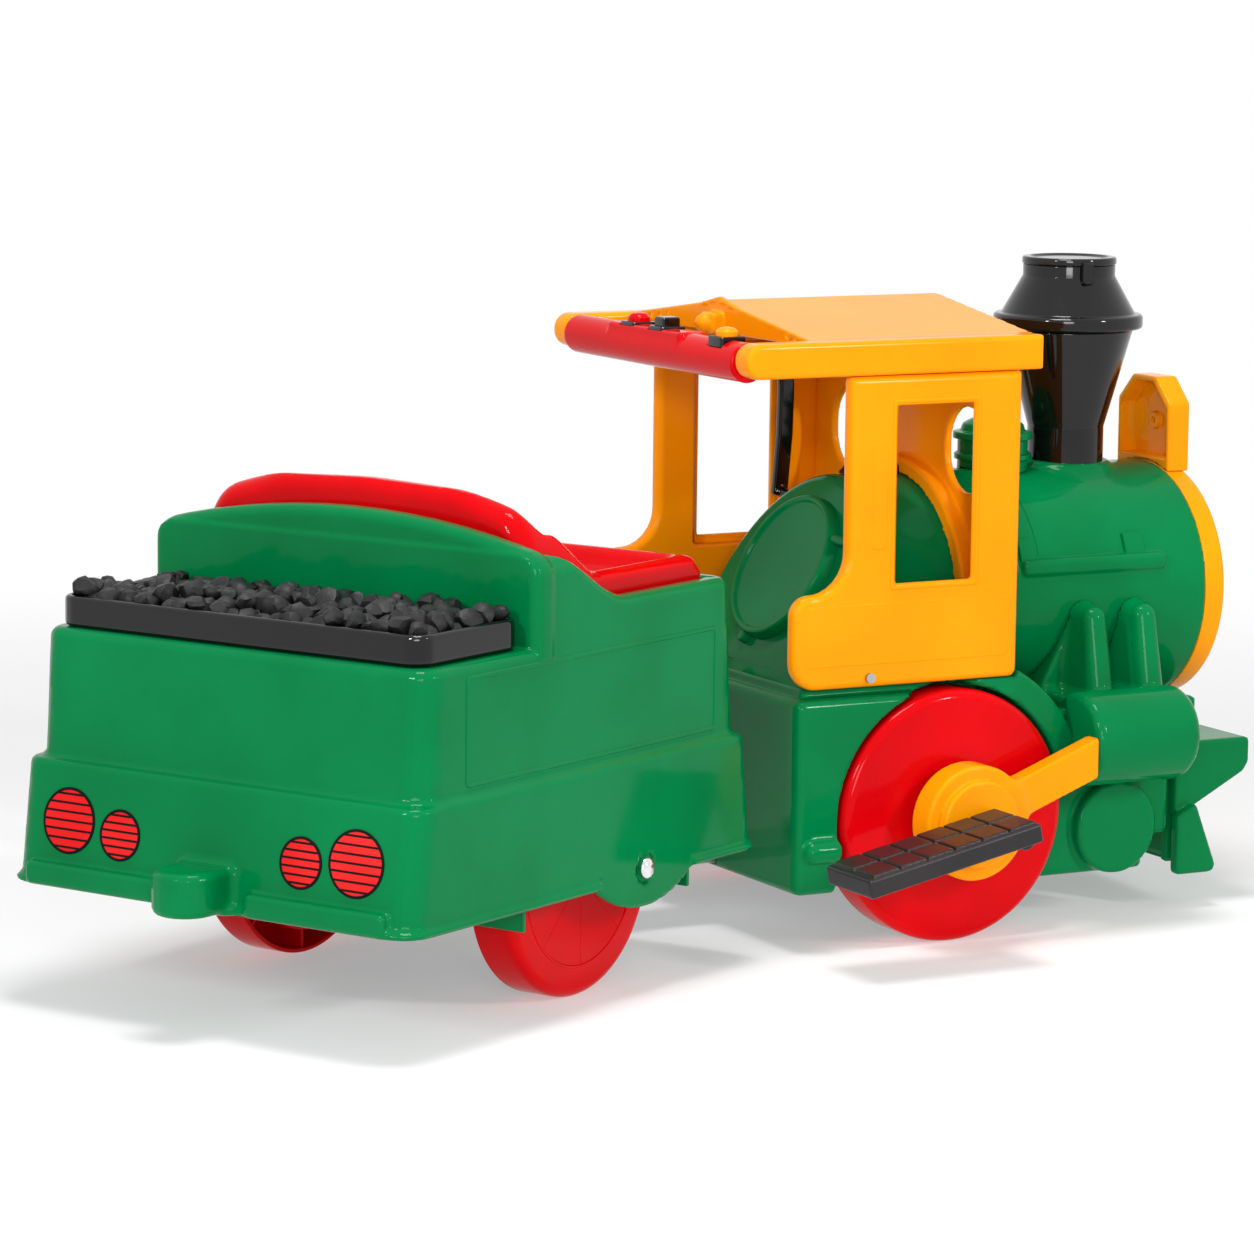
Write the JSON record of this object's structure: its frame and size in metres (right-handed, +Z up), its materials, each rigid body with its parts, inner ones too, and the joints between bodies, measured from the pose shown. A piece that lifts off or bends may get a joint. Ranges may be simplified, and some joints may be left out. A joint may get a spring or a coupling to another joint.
{
  "type": "ride on train",
  "caption": "Articulated ride-on steam train: tender with seat and coal load, steered by a cab locomotive with handlebar, pedal, wheels, rods and funnel.",
  "frame": {"origin": "on the ground under the middle of the object's plan box in the rest pose", "axes": "+X forward along the locomotive, +Y to its left, +Z up; the tender is turned about the kingpin in the rest pose"},
  "size_m": [1.2154, 0.7451, 0.6093],
  "materials": {
    "green_plastic": "glossy moulded",
    "yellow_plastic": "glossy moulded",
    "red_plastic": "glossy moulded",
    "black_plastic": "satin moulded",
    "lamp_red": "printed disc",
    "steel": "zinc plated",
    "chrome": "polished",
    "lens": "clear",
    "nylon": "natural nylon"
  },
  "bodies": {
    "locomotive": {"chassis": "green_plastic", "buffer_beam": "green_plastic", "boiler": "green_plastic", "backhead_cover": "green_plastic", "smokebox_front": "yellow_plastic", "headlamp_housing": "yellow_plastic", "headlamp_lens": "lens", "funnel_base": "black_plastic", "funnel_top": "black_plastic", "funnel_lid": "black_plastic", "whistle_dome": "green_plastic", "steam_cylinder_right": "green_plastic", "steam_cylinder_left": "green_plastic", "cab_wall_right": "yellow_plastic", "cab_wall_left": "yellow_plastic", "cab_front": "yellow_plastic", "roof": "yellow_plastic", "grip": "red_plastic", "grip_core": "steel", "button_bases": "black_plastic", "return_springs": "steel", "wiring_loom": "black_plastic", "sound_unit": "black_plastic", "speaker": "black_plastic", "battery_tray": "black_plastic", "battery": "black_plastic", "motor": "steel", "gearbox_housing": "black_plastic", "gearbox_cover": "black_plastic", "front_axle": "steel", "axle_bushes": "nylon", "rod_bracket_right": "yellow_plastic", "rod_bracket_left": "yellow_plastic", "footrest_left": "black_plastic", "pedal_pins": "steel", "pedal_switch": "black_plastic", "loco_tongue": "steel", "kingpin": "steel", "king_washers": "steel", "cab_screws": "steel"},
    "tender": {"tender_skirt": "green_plastic", "tender_body": "green_plastic", "tender_webs": "green_plastic", "seat": "red_plastic", "coal_tray": "black_plastic", "coal_load": "black_plastic", "tail_lamp_discs": "lamp_red", "tender_frame": "black_plastic", "rear_axle": "steel", "axle_brackets": "black_plastic", "bracket_bolts": "chrome"},
    "front_wheel_right": {"front_wheel_right": "red_plastic"},
    "front_wheel_left": {"front_wheel_left": "red_plastic", "final_gear": "nylon"},
    "motor_shaft": {"motor_pinion": "steel"},
    "rear_wheel_right": {"rear_wheel_right": "red_plastic"},
    "rear_wheel_left": {"rear_wheel_left": "red_plastic"},
    "accelerator_pedal": {"pedal_right": "black_plastic"},
    "red_button": {"button_red": "red_plastic"},
    "black_button": {"button_black": "black_plastic"},
    "yellow_button": {"button_yellow": "yellow_plastic"}
  },
  "joints": [
    {"name": "steer", "type": "hinge", "parent": "locomotive", "child": "tender", "pos_m": [-0.0593, 0.04955, 0.077], "axis": [0, 0, 1], "range_deg": [-61.5, 6.5]},
    {"name": "front_wheel_right_spin", "type": "hinge", "parent": "locomotive", "child": "front_wheel_right", "pos_m": [0.2457, -0.12245, 0.117], "axis": [0, 1, 0], "continuous": true},
    {"name": "front_wheel_left_spin", "type": "hinge", "parent": "locomotive", "child": "front_wheel_left", "pos_m": [0.2457, 0.22155, 0.117], "axis": [0, 1, 0], "continuous": true},
    {"name": "motor_spin", "type": "hinge", "parent": "locomotive", "child": "motor_shaft", "pos_m": [0.29074, 0.14855, 0.143], "axis": [0, 1, 0], "continuous": true},
    {"name": "rear_wheel_right_spin", "type": "hinge", "parent": "tender", "child": "rear_wheel_right", "pos_m": [-0.17585, -0.18135, 0.107], "axis": [-0.4617, 0.887, 0], "continuous": true},
    {"name": "rear_wheel_left_spin", "type": "hinge", "parent": "tender", "child": "rear_wheel_left", "pos_m": [-0.31529, 0.08652, 0.107], "axis": [-0.4617, 0.887, 0], "continuous": true},
    {"name": "pedal_press", "type": "hinge", "parent": "locomotive", "child": "accelerator_pedal", "pos_m": [0.2457, -0.23545, 0.117], "axis": [0, -1, 0], "range_deg": [0, 8], "stiffness_Nm_per_rad": 3, "springref_deg": -14.32},
    {"name": "red_button_press", "type": "slide", "parent": "locomotive", "child": "red_button", "axis": [0, 0, -1], "range_m": [0, 0.003], "stiffness_N_per_m": 400, "springref_m": -0.003, "deforming": ["return_springs"]},
    {"name": "black_button_press", "type": "slide", "parent": "locomotive", "child": "black_button", "axis": [0, 0, -1], "range_m": [0, 0.003], "stiffness_N_per_m": 400, "springref_m": -0.003, "deforming": ["return_springs"]},
    {"name": "yellow_button_press", "type": "slide", "parent": "locomotive", "child": "yellow_button", "axis": [0, 0, -1], "range_m": [0, 0.003], "stiffness_N_per_m": 400, "springref_m": -0.003, "deforming": ["return_springs"]}
  ],
  "couplings": [
    {"joint": "motor_spin", "follows": "front_wheel_left_spin", "ratio": -3.3333}
  ]
}
